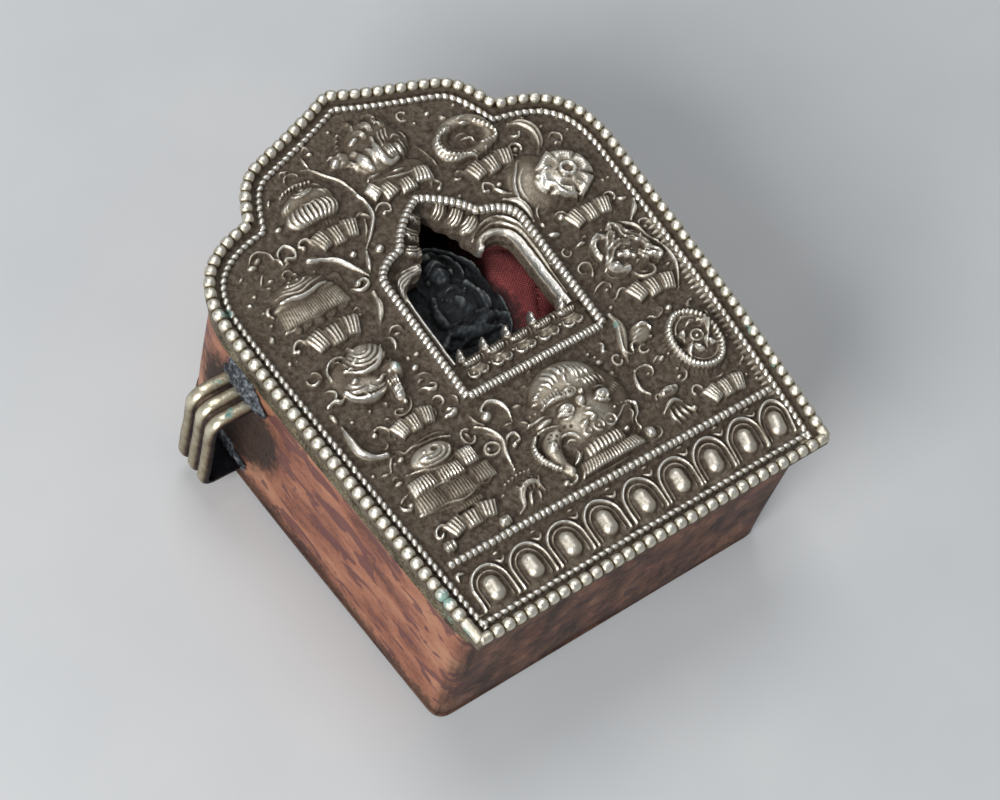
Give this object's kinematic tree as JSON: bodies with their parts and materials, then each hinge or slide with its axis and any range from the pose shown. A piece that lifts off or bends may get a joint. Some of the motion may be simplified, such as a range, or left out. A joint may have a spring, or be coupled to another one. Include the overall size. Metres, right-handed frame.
{
  "type": "prayer box",
  "caption": "Himalayan prayer box with a raised silver face, beaded rim, arched window, copper case, side strap loops and a friction-fit back carrying its contents.",
  "frame": {"origin": "the middle of the bounding box's underside, on the outer face of the back plate, with the box lying on its back", "axes": "+X across the face to the right as seen from in front, +Y along the face up to the peak, +Z out of the face"},
  "size_m": [0.1328, 0.1376, 0.0608],
  "materials": {
    "silver": "worn repousse silver sheet with dark patina in the recesses",
    "bead_silver": "polished beaded silver wire",
    "brass": "tarnished olive brass",
    "copper": "aged copper sheet with purple and soot-dark stains",
    "clay": "dark fired clay",
    "wool": "red woven wool",
    "paper": "rolled bark paper",
    "thread": "wound red thread"
  },
  "bodies": {
    "back_tray": {"back_plate": "copper", "back_flange": "copper", "prayer_roll_1": "paper", "prayer_roll_2": "paper", "prayer_roll_3": "paper", "roll_tie_1": "thread", "roll_tie_2": "thread", "roll_tie_3": "thread", "cloth_bundle": "wool", "clay_image": "clay"},
    "front_case": {"face_plate": "silver", "bottom_bead_wire": "bead_silver", "left_side_bead_wire": "bead_silver", "left_crown_bead_wire": "bead_silver", "right_side_bead_wire": "bead_silver", "right_crown_bead_wire": "bead_silver", "window_arch_wire": "silver", "window_sill_wire": "silver", "window_moulding": "silver", "window_sill": "silver", "lotus_band_wire": "silver", "front_collar": "brass", "case_wall": "copper", "left_strap_loop": "brass", "right_strap_loop": "brass"}
  },
  "joints": [
    {"name": "front_case_lift", "type": "slide", "parent": "back_tray", "child": "front_case", "axis": [0, 0, 1], "range_m": [0, 0.06]}
  ]
}
